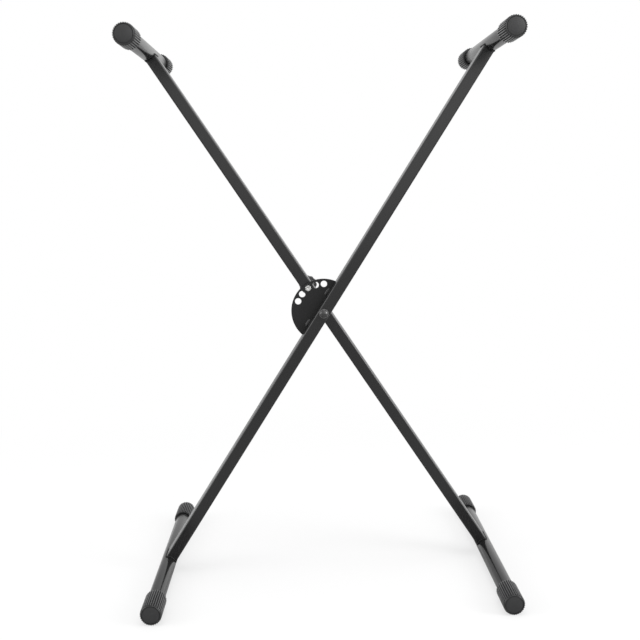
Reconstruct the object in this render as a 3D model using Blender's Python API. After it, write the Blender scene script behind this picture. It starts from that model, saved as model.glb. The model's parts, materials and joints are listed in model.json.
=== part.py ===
import math

import bmesh
import bpy
from mathutils import Matrix, Vector

# A folding X-shaped keyboard stand. Metres, +Z up. The origin is on the floor below the pivot,
# and the front of the stand faces -Y. Two legs cross at one bolt, the front leg running from
# lower left to upper right and the rear leg the other way.

# Legs
PIVOT_TO_TOP = 0.508          # pivot to the axis of a top tube, along the leg
PIVOT_TO_FOOT = 0.499         # pivot to the axis of a foot tube, along the leg
REST_HALF_ANGLE = 32.95       # degrees from a leg to upright, with the pin in the middle hole
LEG_WIDTH = 0.019             # narrow side of the rectangular tube, which faces the front
LEG_DEPTH = 0.038             # wide side of the rectangular tube, front to back
LEG_WALL = 0.0015
LEG_CORNER = 0.002            # outer corner radius of the rectangular tube

# Round tubes across the leg ends, and their end caps
TUBE_DIAMETER = 0.0254
TUBE_WALL = 0.0015
TOP_ARM_LENGTH = 0.4435       # over the end caps
FOOT_LENGTH = 0.497           # over the end caps
CAP_DIAMETER = 0.033          # over the rib crests
CAP_LENGTH = 0.060
CAP_END_WALL = 0.0045         # closed end, dome left out
CAP_DOME = 0.0009             # rise of the dome in the middle of the closed end
CAP_FACE_DIAMETER = 0.0262    # the smooth round face of the closed end
CAP_CHAMFER = 0.0032          # length over which the ribs run out at the closed end
CAP_STEP = 0.0007             # the face stands back from the ring around it
RIB_COUNT = 30
RIB_DEPTH = 0.0014
RIB_CREST_SHARE = 0.375       # flat crest as a share of the rib pitch

# Lock disc, welded behind the front leg
HOLE_CIRCLE = 0.045           # pivot to the middle of each hole
HOLE_DIAMETER = 0.0115
HOLE_PITCH = 17.6             # degrees between holes
HEIGHT_HOLES = 5
DISC_RIM = 0.0028             # material outside the holes
DISC_THICKNESS = 0.003
DISC_INSET = 0.001            # the straight side lies this far inside the leg's edge
DISC_CORNER = 0.003           # rounded corners at the ends of the straight side
STORED_CAP_GAP = 0.001        # between the end caps of both legs when folded flat

# Pivot
BOLT_DIAMETER = 0.008
BOLT_HEAD_DIAMETER = 0.0128
BOLT_HEAD_HEIGHT = 0.0042
BOLT_PAST_NUT = 0.0015
SLEEVE_WALL = 0.0018
WASHER_DIAMETER = 0.0156
WASHER_THICKNESS = 0.0016
NUT_WIDTH = 0.013             # across the flats
NUT_HEIGHT = 0.008
SPACER_DIAMETER = 0.019
SPACER_THICKNESS = 0.0012     # slippery washer between the disc and the rear leg

# Lock pin, its barrel in the rear leg, spring and pull knob
PIN_DIAMETER = 0.0103
PIN_NOSE = 0.0006             # chamfer of the pin's tip
PIN_DIMPLE_DIAMETER = 0.0022  # centre mark in the pin's tip
PIN_BODY_LENGTH = 0.024
STEM_DIAMETER = 0.005
BARREL_WALL = 0.0016
BARREL_PAST_LEG = 0.008
PLUG_FLANGE = 0.003
PLUG_SPIGOT = 0.005
WIRE_DIAMETER = 0.0012
SPRING_TURNS = 7
KNOB_DIAMETER = 0.031
KNOB_NECK_DIAMETER = 0.020
KNOB_NECK_LENGTH = 0.005
KNOB_LENGTH = 0.016
KNOB_EDGE = 0.002
KNOB_FLUTES = 12
KNOB_FLUTE_DEPTH = 0.0009
KNOB_POCKET_DEPTH = 0.005     # screw pocket in the back of the knob
SCREW_DIAMETER = 0.0024
SCREW_LENGTH = 0.009
SCREW_HEAD_DIAMETER = 0.0055
SCREW_HEAD_HEIGHT = 0.0022
SOCKET_WIDTH = 0.0025         # across the flats of the screw's hexagon socket
SOCKET_DEPTH = 0.0012

# Clearances
SEAT = 0.0003                 # between pieces that touch
RUNNING = 0.0002              # around a piece that turns or slides in a bore
TUBE_SIDES = 40
BORE_SIDES = 32
DISC_HOLE_SIDES = 24

# Sizes that follow from those above
alpha = math.radians(REST_HALF_ANGLE)
cap_radius = CAP_DIAMETER / 2
rib_pitch = math.tau / RIB_COUNT
crest_half_angle = rib_pitch * RIB_CREST_SHARE / 2
cap_rest_radius = cap_radius * math.cos(crest_half_angle)
pivot_height = PIVOT_TO_FOOT * math.cos(alpha) + cap_rest_radius
leg_gap = SEAT + DISC_THICKNESS + SEAT + SPACER_THICKNESS + SEAT
front_leg_back = -leg_gap / 2
front_leg_front = front_leg_back - LEG_DEPTH
rear_leg_front = leg_gap / 2
rear_leg_back = rear_leg_front + LEG_DEPTH
disc_front = front_leg_back + SEAT
disc_back = disc_front + DISC_THICKNESS
disc_radius = HOLE_CIRCLE + HOLE_DIAMETER / 2 + DISC_RIM
disc_edge = LEG_WIDTH / 2 - DISC_INSET
stored_angle = 2 * math.asin((CAP_DIAMETER + STORED_CAP_GAP) / 2 / min(PIVOT_TO_TOP, PIVOT_TO_FOOT))
sleeve_bore = BOLT_DIAMETER / 2 + RUNNING
sleeve_radius = sleeve_bore + SLEEVE_WALL
barrel_bore = PIN_DIAMETER / 2 + RUNNING
barrel_radius = barrel_bore + BARREL_WALL
barrel_end = rear_leg_back + BARREL_PAST_LEG
pin_tip = disc_back + SEAT
pin_shoulder = pin_tip + PIN_BODY_LENGTH
engage_travel = pin_tip - disc_front
plug_front = barrel_end - PLUG_SPIGOT
plug_back = barrel_end + SEAT + PLUG_FLANGE
knob_front = plug_back + SEAT + engage_travel
knob_back = knob_front + KNOB_LENGTH
stem_end = knob_back - KNOB_POCKET_DEPTH - SEAT


def clear_scene():
    for old in list(bpy.data.objects):
        bpy.data.objects.remove(old, do_unlink=True)


def make_material(name, colour, roughness, metallic):
    material = bpy.data.materials.new(name)
    material.use_nodes = True
    shader = material.node_tree.nodes["Principled BSDF"]
    shader.inputs["Base Color"].default_value = (*colour, 1.0)
    shader.inputs["Roughness"].default_value = roughness
    shader.inputs["Metallic"].default_value = metallic
    material.diffuse_color = (*colour, 1.0)
    return material


FINISHES = {
    "black_paint": ((0.035, 0.035, 0.037), 0.42, 0.0),
    "black_rubber": ((0.045, 0.045, 0.048), 0.6, 0.0),
    "zinc": ((0.62, 0.62, 0.60), 0.35, 1.0),
    "black_bolt": ((0.03, 0.03, 0.032), 0.35, 0.6),
    "spring_steel": ((0.45, 0.45, 0.46), 0.3, 1.0),
    "nylon": ((0.04, 0.04, 0.042), 0.5, 0.0),
    "black_plastic": ((0.025, 0.025, 0.027), 0.45, 0.0),
}


def add_object(name, data, finish, parent, location=(0, 0, 0), turn=0.0):
    """Link an object, give it a finish of its own and place it in its parent's frame."""
    thing = bpy.data.objects.new(name, data)
    bpy.context.collection.objects.link(thing)
    data.materials.clear()
    data.materials.append(make_material(name + "_finish", *FINISHES[finish]))
    thing.parent = parent
    thing.location = location
    thing.rotation_euler = (0.0, turn, 0.0)
    return thing


def finish_mesh(name, bm, sharp_degrees=35.0):
    """Close a bmesh: normals outwards, smooth shading with sharp corners."""
    bmesh.ops.remove_doubles(bm, verts=bm.verts, dist=1e-7)
    bmesh.ops.recalc_face_normals(bm, faces=bm.faces)
    mesh = bpy.data.meshes.new(name)
    bm.to_mesh(mesh)
    bm.free()
    mesh.shade_smooth()
    mesh.set_sharp_from_angle(angle=math.radians(sharp_degrees))
    return mesh


def circle_point(radius, angle, y):
    return (radius * math.cos(angle), y, radius * math.sin(angle))


def add_ring(bm, radius, y, sides, start=0.0):
    """A ring of points around the Y axis, or one point where the radius is zero."""
    if radius <= 0.0:
        return [bm.verts.new((0.0, y, 0.0))]
    return [bm.verts.new(circle_point(radius, start + math.tau * i / sides, y)) for i in range(sides)]


def join_rings(bm, first, second):
    """Faces between two rings with as many points, or from a ring to a single point."""
    if len(first) == 1:
        first, second = second, first
    count = len(first)
    for i in range(count):
        j = (i + 1) % count
        if len(second) == 1:
            bm.faces.new((first[i], first[j], second[0]))
        else:
            bm.faces.new((first[i], first[j], second[j], second[i]))


def turned(name, profile, sides=BORE_SIDES, hollow=True):
    """A turned piece around the Y axis. The profile is (radius, y) points, in order round the
    section. A hollow piece closes back to its first point, and a solid one ends on the axis."""
    bm = bmesh.new()
    start = -math.pi / 2 + math.pi / sides
    rings = [add_ring(bm, radius, y, sides, start) for radius, y in profile]
    pairs = list(zip(rings, rings[1:]))
    if hollow:
        pairs.append((rings[-1], rings[0]))
    for first, second in pairs:
        join_rings(bm, first, second)
    return finish_mesh(name, bm)


def tube_profile(outer, inner, front, back):
    return [(outer, front), (outer, back), (inner, back), (inner, front)]


def cutter(name, data, parent, location=(0, 0, 0)):
    """A shape that only cuts others."""
    thing = bpy.data.objects.new(name, data)
    bpy.context.collection.objects.link(thing)
    thing.parent = parent
    thing.location = location
    thing.hide_render = True
    thing.display_type = "WIRE"
    return thing


def cut(target, tool):
    modifier = target.modifiers.new("cut_" + tool.name, "BOOLEAN")
    modifier.operation = "DIFFERENCE"
    modifier.solver = "EXACT"
    modifier.object = tool


def leg_outline(half_width, half_depth, corner, corner_steps=4, front_steps=8):
    """Section of the rectangular tube as (across, front-to-back) points, anticlockwise. The
    narrow sides carry extra points, because the round tube's saddle crosses them."""
    points = []
    straight = half_width - corner
    for quarter, (cx, cy) in enumerate(((1, 1), (-1, 1), (-1, -1), (1, -1))):
        centre = (cx * straight, cy * (half_depth - corner))
        for i in range(corner_steps + 1):
            angle = math.pi / 2 * (quarter + i / corner_steps)
            points.append((centre[0] + corner * math.cos(angle), centre[1] + corner * math.sin(angle)))
        if quarter in (0, 2):
            for i in range(1, front_steps):
                across = cx * straight * (1 - 2 * i / front_steps)
                points.append((across, cy * half_depth))
    return points


def leg_bar_mesh(name, middle_y):
    """Rectangular tube along Z, its ends saddled to sit on the round tubes."""
    saddle = TUBE_DIAMETER / 2 + SEAT
    inner_corner = max(LEG_CORNER - LEG_WALL, LEG_CORNER * 0.2)
    outer = leg_outline(LEG_WIDTH / 2, LEG_DEPTH / 2, LEG_CORNER)
    inner = leg_outline(LEG_WIDTH / 2 - LEG_WALL, LEG_DEPTH / 2 - LEG_WALL, inner_corner)
    bm = bmesh.new()
    rings = []
    for outline in (outer, inner):
        for sign, reach in ((1, PIVOT_TO_TOP), (-1, PIVOT_TO_FOOT)):
            ring = []
            for across, along_y in outline:
                height = reach - math.sqrt(saddle ** 2 - across ** 2)
                ring.append(bm.verts.new((across, middle_y + along_y, sign * height)))
            rings.append(ring)
    outer_top, outer_foot, inner_top, inner_foot = rings
    join_rings(bm, outer_top, outer_foot)
    join_rings(bm, inner_top, inner_foot)
    join_rings(bm, outer_top, inner_top)
    join_rings(bm, outer_foot, inner_foot)
    return finish_mesh(name, bm, sharp_degrees=50.0)


def cap_mesh():
    """Ribbed push-on cap around the Y axis, mouth at y = 0 and closed end towards -Y. One rib
    crest points straight down and one straight up."""
    bm = bmesh.new()
    bore = TUBE_DIAMETER / 2 + SEAT
    face = CAP_FACE_DIAMETER / 2
    end = -CAP_LENGTH + CAP_DOME
    ring_radius = (cap_radius - RIB_DEPTH + face) / 2

    def ribbed(y):
        ring = []
        for rib in range(RIB_COUNT):
            middle = -math.pi / 2 + rib * rib_pitch
            for angle, radius in (
                (middle - crest_half_angle, cap_radius),
                (middle + crest_half_angle, cap_radius),
                (middle + rib_pitch / 2, cap_radius - RIB_DEPTH),
            ):
                ring.append(bm.verts.new(circle_point(radius, angle, y)))
        return ring

    def plain(radius, y):
        return add_ring(bm, radius, y, RIB_COUNT, -math.pi / 2 - rib_pitch / 2)

    def rib_to_plain(ribs, ring):
        # Each rib shares one side of the plain ring, whose corners lie in the valleys.
        for rib in range(RIB_COUNT):
            first = 3 * rib
            left_valley = ribs[first - 1]
            right_valley = ribs[first + 2]
            crest = (ribs[first], ribs[first + 1])
            bm.faces.new((left_valley, *crest, right_valley, ring[(rib + 1) % RIB_COUNT], ring[rib]))

    mouth = ribbed(0.0)
    run_out = ribbed(end + CAP_CHAMFER)
    shoulder = plain(ring_radius, end)
    face_edge = plain(face, end)
    face_foot = plain(face, end + CAP_STEP)
    dome_side = plain(face * 0.6, end - CAP_DOME * 0.6)
    dome_top = add_ring(bm, 0.0, end - CAP_DOME, 1)
    bore_mouth = plain(bore, 0.0)
    bore_end = plain(bore, end + CAP_END_WALL)
    bore_middle = add_ring(bm, 0.0, end + CAP_END_WALL, 1)
    join_rings(bm, mouth, run_out)
    rib_to_plain(run_out, shoulder)
    join_rings(bm, shoulder, face_edge)
    join_rings(bm, face_edge, face_foot)
    join_rings(bm, face_foot, dome_side)
    join_rings(bm, dome_side, dome_top)
    rib_to_plain(mouth, bore_mouth)
    join_rings(bm, bore_mouth, bore_end)
    join_rings(bm, bore_end, bore_middle)
    bmesh.ops.triangulate(bm, faces=[f for f in bm.faces if len(f.verts) > 4])
    return finish_mesh("end_cap", bm, sharp_degrees=25.0)


def add_cross_tube(leg, leg_name, end_name, height, length, turn, cap):
    """A round tube across a leg's end, with a cap pushed on each end."""
    half = length / 2 - (CAP_END_WALL + CAP_DOME) - SEAT
    radius = TUBE_DIAMETER / 2
    profile = tube_profile(radius, radius - TUBE_WALL, -half, half)
    mesh = turned(f"{leg_name}_{end_name}_tube", profile, TUBE_SIDES)
    add_object(f"{leg_name}_{end_name}_tube", mesh, "black_paint", leg, (0, 0, height), turn)
    mouth = length / 2 - CAP_LENGTH
    for side, sign in (("front", -1), ("rear", 1)):
        data = cap.copy()
        if sign > 0:
            data.transform(Matrix.Scale(-1.0, 4, Vector((0.0, 1.0, 0.0))))
            data.flip_normals()
        name = f"{leg_name}_{end_name}_cap_{side}"
        add_object(name, data, "black_rubber", leg, (0, sign * mouth, height), turn)


def add_leg(name, side, cap):
    """The bar and its two cross tubes, in a frame whose origin is on the pivot axis."""
    frame = bpy.data.objects.new(name + "_frame", None)
    bpy.context.collection.objects.link(frame)
    frame.location = (0.0, 0.0, pivot_height)
    frame.rotation_euler = (0.0, side * alpha, 0.0)
    middle_y = (front_leg_front + front_leg_back) / 2 if side > 0 else (rear_leg_front + rear_leg_back) / 2
    bar = add_object(name + "_bar", leg_bar_mesh(name + "_bar", middle_y), "black_paint", frame)
    add_cross_tube(frame, name, "top", PIVOT_TO_TOP, TOP_ARM_LENGTH, -side * alpha, cap)
    add_cross_tube(frame, name, "foot", -PIVOT_TO_FOOT, FOOT_LENGTH, -side * alpha, cap)
    return frame, bar


def round_cutter(name, radius, front, back, parent, location=(0, 0, 0), sides=BORE_SIDES):
    profile = [(0.0, front), (radius, front), (radius, back), (0.0, back)]
    return cutter(name, turned(name, profile, sides, hollow=False), parent, location)


def disc_outline():
    """Half disc as (across, along the leg) points. It bulges to the left of the front leg, and
    its straight side lies behind the leg, a little past the pivot."""
    reach = disc_radius - DISC_CORNER
    corner_across = disc_edge - DISC_CORNER
    corner_along = math.sqrt(reach ** 2 - corner_across ** 2)
    tilt = math.atan2(corner_across, corner_along)
    points = []
    corner_steps = 3
    for i in range(corner_steps + 1):
        angle = (math.pi / 2 - tilt) * i / corner_steps
        points.append((corner_across + DISC_CORNER * math.cos(angle),
                       corner_along + DISC_CORNER * math.sin(angle)))
    arc_steps = 36
    first = math.pi / 2 - tilt
    last = 3 * math.pi / 2 + tilt
    for i in range(1, arc_steps):
        angle = first + (last - first) * i / arc_steps
        points.append((disc_radius * math.cos(angle), disc_radius * math.sin(angle)))
    for i in range(corner_steps + 1):
        angle = -(math.pi / 2 - tilt) * (1 - i / corner_steps)
        points.append((corner_across + DISC_CORNER * math.cos(angle),
                       -corner_along + DISC_CORNER * math.sin(angle)))
    return points


def hole_angles():
    """Angle of each hole from the front leg's upper half, towards the rear leg: the row of
    height holes around the rest angle, and one hole that holds the stand folded flat."""
    rest = 2 * alpha
    pitch = math.radians(HOLE_PITCH)
    middle = (HEIGHT_HOLES - 1) / 2
    return [stored_angle] + [rest + (i - middle) * pitch for i in range(HEIGHT_HOLES)]


def add_lock_disc(frame):
    bm = bmesh.new()
    rings = []
    for y in (disc_front, disc_back):
        rings.append([bm.verts.new((across, y, along)) for across, along in disc_outline()])
    join_rings(bm, rings[0], rings[1])
    bm.faces.new(rings[0])
    bm.faces.new(rings[1])
    disc = add_object("lock_disc", finish_mesh("lock_disc", bm), "black_paint", frame)
    margin = DISC_THICKNESS
    cut(disc, round_cutter("disc_pivot_hole", sleeve_bore, disc_front - margin, disc_back + margin, frame))
    for i, angle in enumerate(hole_angles()):
        place = (-HOLE_CIRCLE * math.sin(angle), 0.0, HOLE_CIRCLE * math.cos(angle))
        front = disc_front - margin
        back = disc_back + margin
        tool = round_cutter(f"disc_hole_{i}", HOLE_DIAMETER / 2, front, back, frame, place, DISC_HOLE_SIDES)
        cut(disc, tool)


def add_pivot(front_frame, rear_frame, front_bar, rear_bar):
    """Bolt, washers, nut, the sleeve that keeps each leg from crushing, and the spacer."""
    margin = SEAT * 4
    for bar, frame, name, front, back in (
        (front_bar, front_frame, "front_pivot_sleeve", front_leg_front, front_leg_back),
        (rear_bar, rear_frame, "rear_pivot_sleeve", rear_leg_front, rear_leg_back),
    ):
        add_object(name, turned(name, tube_profile(sleeve_radius, sleeve_bore, front, back)), "zinc", frame)
        hole = round_cutter(name + "_hole", sleeve_radius + SEAT, front - margin, back + margin, frame)
        cut(bar, hole)

    spacer_front = disc_back + SEAT
    profile = tube_profile(SPACER_DIAMETER / 2, sleeve_bore, spacer_front, spacer_front + SPACER_THICKNESS)
    add_object("pivot_spacer", turned("pivot_spacer", profile), "nylon", front_frame)

    washer = WASHER_DIAMETER / 2
    front_washer_back = front_leg_front - SEAT
    head_back = front_washer_back - WASHER_THICKNESS - SEAT
    rear_washer_front = rear_leg_back + SEAT
    nut_front = rear_washer_front + WASHER_THICKNESS + SEAT
    nut_back = nut_front + NUT_HEIGHT
    profile = tube_profile(washer, sleeve_bore, front_washer_back - WASHER_THICKNESS, front_washer_back)
    add_object("pivot_washer_front", turned("pivot_washer_front", profile), "black_bolt", front_frame)
    profile = tube_profile(washer, sleeve_bore, rear_washer_front, rear_washer_front + WASHER_THICKNESS)
    add_object("pivot_washer_rear", turned("pivot_washer_rear", profile), "black_bolt", front_frame)

    # Domed head: a quarter ellipse from the middle of the head to its edge.
    head = BOLT_HEAD_DIAMETER / 2
    edge = BOLT_HEAD_HEIGHT * 0.2
    dome = BOLT_HEAD_HEIGHT - edge
    steps = 6
    profile = [(0.0, head_back - BOLT_HEAD_HEIGHT)]
    for i in range(1, steps + 1):
        angle = math.pi / 2 * i / steps
        profile.append((head * math.sin(angle), head_back - edge - dome * math.cos(angle)))
    shank = BOLT_DIAMETER / 2
    bolt_end = nut_back + BOLT_PAST_NUT
    profile += [(head, head_back), (shank, head_back), (shank, bolt_end - SEAT), (shank - SEAT, bolt_end)]
    profile.append((0.0, bolt_end))
    add_object("pivot_bolt", turned("pivot_bolt", profile, hollow=False), "black_bolt", front_frame)
    add_object("pivot_lock_nut", nut_mesh(nut_front, nut_back), "zinc", front_frame)


def add_hexagon(bm, width, y, sides):
    """A hexagon ring around the Y axis, given across its flats, with points along its sides."""
    ring = []
    for i in range(sides):
        angle = math.tau * i / sides
        from_flat = angle % (math.pi / 3) - math.pi / 6
        ring.append(bm.verts.new(circle_point(width / 2 / math.cos(from_flat), angle, y)))
    return ring


def nut_mesh(front, back):
    """Locking nut: hexagon with a round collar that holds its plastic ring."""
    bm = bmesh.new()
    collar = NUT_WIDTH / 2 * 0.88
    collar_start = front + NUT_HEIGHT * 0.72
    bore = BOLT_DIAMETER / 2 + RUNNING
    sides = 30
    rings = [
        add_hexagon(bm, NUT_WIDTH, front, sides),
        add_hexagon(bm, NUT_WIDTH, collar_start, sides),
        add_ring(bm, collar, collar_start + NUT_HEIGHT * 0.05, sides),
        add_ring(bm, collar * 0.97, back, sides),
        add_ring(bm, bore, back, sides),
        add_ring(bm, bore, front, sides),
    ]
    for first, second in zip(rings, rings[1:] + rings[:1]):
        join_rings(bm, first, second)
    return finish_mesh("pivot_lock_nut", bm)


def add_lock_pin(rear_frame, rear_bar):
    """Barrel through the rear leg, with the pin, its spring, the plug that keeps the spring in,
    and the knob that pulls the pin back."""
    place = (0.0, 0.0, HOLE_CIRCLE)
    profile = tube_profile(barrel_radius, barrel_bore, rear_leg_front, barrel_end)
    add_object("pin_barrel", turned("pin_barrel", profile), "black_paint", rear_frame, place)
    margin = SEAT * 4
    hole = round_cutter("barrel_hole", barrel_radius + SEAT, rear_leg_front - margin,
                        rear_leg_back + margin, rear_frame, place)
    cut(rear_bar, hole)

    stem = STEM_DIAMETER / 2
    stem_bore = stem + SEAT
    spigot = barrel_bore - SEAT
    flange = barrel_radius
    flange_front = barrel_end + SEAT
    profile = [
        (stem_bore, plug_front), (spigot, plug_front), (spigot, flange_front), (flange, flange_front),
        (flange, plug_back - SEAT), (flange - SEAT, plug_back), (stem_bore, plug_back),
    ]
    add_object("barrel_plug", turned("barrel_plug", profile), "zinc", rear_frame, place)

    body = PIN_DIAMETER / 2
    dimple = PIN_DIMPLE_DIAMETER / 2
    screw_hole = SCREW_DIAMETER / 2 + SEAT
    hole_end = stem_end - SCREW_LENGTH - SEAT
    profile = [
        (0.0, pin_tip + dimple), (dimple, pin_tip), (body - PIN_NOSE, pin_tip), (body, pin_tip + PIN_NOSE),
        (body, pin_shoulder), (stem, pin_shoulder), (stem, stem_end), (screw_hole, stem_end),
        (screw_hole, hole_end), (0.0, hole_end),
    ]
    add_object("lock_pin", turned("lock_pin", profile, hollow=False), "zinc", rear_frame, place)
    add_spring(rear_frame, place, stem, barrel_bore)
    add_object("pull_knob", knob_mesh(stem + SEAT), "black_plastic", rear_frame, place)
    add_object("knob_screw", screw_mesh(stem_end + SEAT), "black_bolt", rear_frame, place)


def add_spring(frame, place, inside, outside):
    """Compression spring around the stem, between the pin's shoulder and the plug."""
    wire = WIRE_DIAMETER / 2
    front = pin_shoulder + SEAT + wire
    back = plug_front - SEAT - wire
    radius = (inside + outside) / 2
    points_per_turn = 10
    count = SPRING_TURNS * points_per_turn
    pitch = (back - front) / SPRING_TURNS
    curve = bpy.data.curves.new("lock_spring", "CURVE")
    curve.dimensions = "3D"
    curve.bevel_depth = wire
    curve.bevel_resolution = 1
    curve.use_fill_caps = True
    spline = curve.splines.new("POLY")
    spline.points.add(count)
    for i in range(count + 1):
        turn = i / points_per_turn
        x, y, z = circle_point(radius, math.tau * turn, front + pitch * turn)
        spline.points[i].co = (x, y, z, 1.0)
    print("lock_spring: least gap between turns, mm:", round((pitch - WIRE_DIAMETER) * 1000, 2))
    add_object("lock_spring", curve, "spring_steel", frame, place)


def knob_mesh(bore):
    """Fluted pull knob with a neck towards the barrel and a screw pocket in its back."""
    bm = bmesh.new()
    radius = KNOB_DIAMETER / 2
    neck = KNOB_NECK_DIAMETER / 2
    pocket = SCREW_HEAD_DIAMETER / 2 + SEAT * 2
    sides = KNOB_FLUTES * 3
    grip_front = knob_front + KNOB_NECK_LENGTH
    pocket_floor = knob_back - KNOB_POCKET_DEPTH

    def fluted(y):
        ring = []
        for i in range(sides):
            valley = KNOB_FLUTE_DEPTH if i % 3 == 0 else 0.0
            ring.append(bm.verts.new(circle_point(radius - valley, math.tau * i / sides, y)))
        return ring

    rings = [
        add_ring(bm, bore, knob_front, sides),
        add_ring(bm, neck, knob_front, sides),
        add_ring(bm, neck, grip_front, sides),
        add_ring(bm, radius - KNOB_EDGE, grip_front, sides),
        fluted(grip_front + KNOB_EDGE),
        fluted(knob_back - KNOB_EDGE),
        add_ring(bm, radius - KNOB_EDGE, knob_back, sides),
        add_ring(bm, pocket, knob_back, sides),
        add_ring(bm, pocket, pocket_floor, sides),
        add_ring(bm, bore, pocket_floor, sides),
    ]
    for first, second in zip(rings, rings[1:] + rings[:1]):
        join_rings(bm, first, second)
    return finish_mesh("pull_knob", bm)


def screw_mesh(head_front):
    """Cap screw in the end of the stem, with a hexagon socket."""
    bm = bmesh.new()
    sides = 24
    shank = SCREW_DIAMETER / 2
    head = SCREW_HEAD_DIAMETER / 2
    head_back = head_front + SCREW_HEAD_HEIGHT
    start = head_front - SCREW_LENGTH
    rings = [
        add_ring(bm, 0.0, start, 1),
        add_ring(bm, shank, start, sides),
        add_ring(bm, shank, head_front, sides),
        add_ring(bm, head, head_front, sides),
        add_ring(bm, head, head_back, sides),
        add_hexagon(bm, SOCKET_WIDTH, head_back, sides),
        add_hexagon(bm, SOCKET_WIDTH, head_back - SOCKET_DEPTH, sides),
        add_ring(bm, 0.0, head_back - SOCKET_DEPTH, 1),
    ]
    for first, second in zip(rings, rings[1:]):
        join_rings(bm, first, second)
    return finish_mesh("knob_screw", bm)


clear_scene()
end_cap = cap_mesh()
front_leg, front_leg_bar = add_leg("front_leg", 1, end_cap)
rear_leg, rear_leg_bar = add_leg("rear_leg", -1, end_cap)
add_lock_disc(front_leg)
add_pivot(front_leg, rear_leg, front_leg_bar, rear_leg_bar)
add_lock_pin(rear_leg, rear_leg_bar)
bpy.data.meshes.remove(end_cap)
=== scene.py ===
import json
import math

import bmesh
import bpy
from mathutils import Matrix, Vector

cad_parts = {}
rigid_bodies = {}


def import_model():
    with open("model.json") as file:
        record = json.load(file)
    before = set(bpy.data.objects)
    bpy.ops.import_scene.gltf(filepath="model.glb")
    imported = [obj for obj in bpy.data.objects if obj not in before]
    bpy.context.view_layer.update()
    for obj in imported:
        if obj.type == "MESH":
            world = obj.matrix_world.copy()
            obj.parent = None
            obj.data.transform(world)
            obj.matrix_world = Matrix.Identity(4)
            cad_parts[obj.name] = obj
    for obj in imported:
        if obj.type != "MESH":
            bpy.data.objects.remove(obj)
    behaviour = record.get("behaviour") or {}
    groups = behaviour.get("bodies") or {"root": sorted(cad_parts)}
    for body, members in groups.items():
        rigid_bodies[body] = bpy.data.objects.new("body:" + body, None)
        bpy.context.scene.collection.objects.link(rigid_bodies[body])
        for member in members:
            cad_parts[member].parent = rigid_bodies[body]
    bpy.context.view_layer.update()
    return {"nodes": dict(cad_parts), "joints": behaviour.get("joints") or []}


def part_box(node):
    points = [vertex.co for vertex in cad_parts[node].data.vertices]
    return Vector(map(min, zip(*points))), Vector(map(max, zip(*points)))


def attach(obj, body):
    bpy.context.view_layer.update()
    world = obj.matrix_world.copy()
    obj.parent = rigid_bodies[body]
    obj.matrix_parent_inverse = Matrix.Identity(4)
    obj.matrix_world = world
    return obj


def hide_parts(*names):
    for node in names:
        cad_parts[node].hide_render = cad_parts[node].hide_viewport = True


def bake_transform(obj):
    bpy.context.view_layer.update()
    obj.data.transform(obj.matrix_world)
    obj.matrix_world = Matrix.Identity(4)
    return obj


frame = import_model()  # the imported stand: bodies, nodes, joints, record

joints = {joint["name"]: joint for joint in frame["joints"]}
pivot = Vector(joints["fold"]["pos_m"])
seat = 0.0003  # between pieces that touch
cornerShare = 0.45  # of each side, the most that a rounded corner takes
samePlace = 1e-7  # corners this close are one corner
copySeam = 2e-6  # the same, where two copies of a wedge meet


def middleOf(node):
    low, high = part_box(node)
    return (low + high) / 2


def radiusOf(node):
    low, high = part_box(node)
    return (high.x - low.x) / 2


pinCentre = middleOf("lock_pin")
holeCircle = math.hypot(pinCentre.x - pivot.x, pinCentre.z - pivot.z)


# A socket's value in a node tree, so that node maths reads as sums.

class Signal:
    def __init__(self, graph, socket):
        self.graph = graph
        self.socket = socket

    def __add__(self, other):
        return self.graph.maths("ADD", self, other)

    def __radd__(self, other):
        return self.graph.maths("ADD", other, self)

    def __sub__(self, other):
        return self.graph.maths("SUBTRACT", self, other)

    def __rsub__(self, other):
        return self.graph.maths("SUBTRACT", other, self)

    def __mul__(self, other):
        return self.graph.maths("MULTIPLY", self, other)

    def __rmul__(self, other):
        return self.graph.maths("MULTIPLY", other, self)

    def __truediv__(self, other):
        return self.graph.maths("DIVIDE", self, other)

    def between(self, low, high):  # 0 below low, 1 above high, smooth in between
        settings = {"interpolation_type": "SMOOTHSTEP"}
        return self.graph.node("ShaderNodeMapRange", settings, {"Value": self, 1: low, 2: high})


# A node tree, whose nodes are all made by one method: type, settings, values or links of its sockets.

class Graph:
    def __init__(self, tree):
        self.tree = tree

    def node(self, kind, settings=None, sockets=None, output=0):
        made = self.tree.nodes.new(kind)
        for key, value in (settings or {}).items():
            setattr(made, key, value)
        for key, value in (sockets or {}).items():
            if isinstance(value, Signal):
                self.tree.links.new(value.socket, made.inputs[key])
            else:
                made.inputs[key].default_value = value
        return Signal(self, made.outputs[output]) if made.outputs else made

    def maths(self, operation, *values):
        return self.node("ShaderNodeMath", {"operation": operation}, dict(enumerate(values)))

    def noise(self, place, values):
        sockets = {"Vector": place, **dict(zip(("Scale", "Detail", "Roughness"), values))}
        return self.node("ShaderNodeTexNoise", None, sockets)

    def stretch(self, place, scale, turn=(0.0, 0.0, 0.0), centre=(0.0, 0.0, 0.0)):
        moved = self.node("ShaderNodeVectorMath", {"operation": "SUBTRACT"}, {0: place, 1: centre})
        return self.node("ShaderNodeMapping", None, {"Vector": moved, "Rotation": turn, "Scale": scale})

    def attribute(self, name):
        return self.node("ShaderNodeAttribute", {"attribute_name": name}, None, "Fac")

    def mixColour(self, share, first, second):
        sockets = {0: share, 6: first, 7: second}  # those of its colour mode
        return self.node("ShaderNodeMix", {"data_type": "RGBA"}, sockets, 2)


def grey(value, tint=(1.0, 1.0, 1.0)):
    return (value * tint[0], value * tint[1], value * tint[2], 1.0)


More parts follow.
